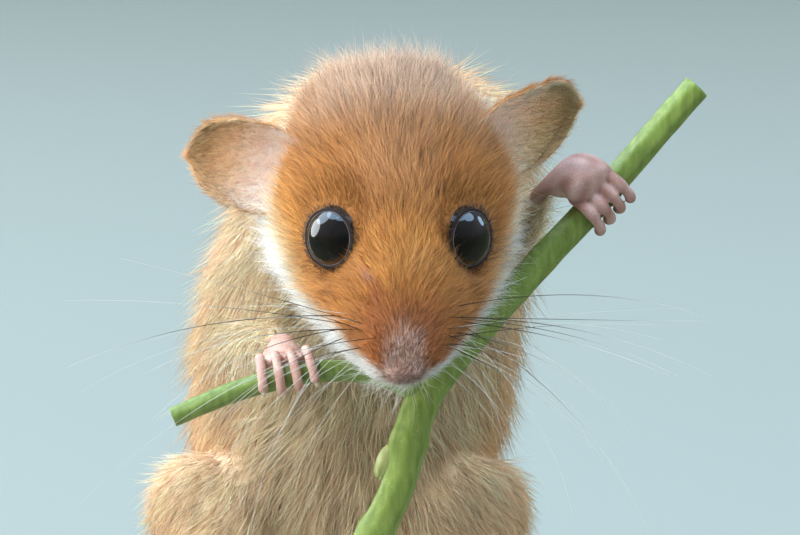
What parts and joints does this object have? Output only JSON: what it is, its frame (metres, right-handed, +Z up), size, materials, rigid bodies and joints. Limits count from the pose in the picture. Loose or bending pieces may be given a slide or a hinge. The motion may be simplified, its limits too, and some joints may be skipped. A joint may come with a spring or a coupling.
{
  "type": "hazel dormouse on a stem",
  "caption": "Life-size still model of a hazel dormouse gripping a cut green stem and looking down at the viewer, held on a round display stand",
  "frame": {"origin": "centre of the underside of the round base, on the surface that the model stands on", "axes": "+Z up; -Y is the side that the animal faces; +X is the animal's left"},
  "size_m": [0.072, 0.072, 0.0994],
  "materials": {
    "coat": "short dense ginger fur, paler below",
    "ear_skin": "thin skin with fine short hair",
    "eye": "wet, polished black",
    "foot_skin": "bare pink skin with soft pads and pale claws",
    "stem": "smooth green bark, slightly waxy",
    "stand_wood": "satin turned wood",
    "stand_metal": "fine brushed steel"
  },
  "bodies": {
    "root": {"head": "coat", "neck": "coat", "torso": "coat", "tail_root": "coat", "tail_middle": "coat", "tail_tip": "coat", "foreleg_left": "coat", "foreleg_right": "coat", "hindleg_left": "coat", "hindleg_right": "coat", "ear_left": "ear_skin", "ear_right": "ear_skin", "eye_left": "eye", "eye_right": "eye", "forefoot_left": "foot_skin", "forefoot_right": "foot_skin", "hindfoot_left": "foot_skin", "hindfoot_right": "foot_skin", "perch_stem": "stem", "perch_shoot": "stem", "stand_base": "stand_wood", "stand_rod": "stand_metal", "stand_cup": "stand_metal", "stand_belly_rod": "stand_metal"}
  },
  "joints": []
}
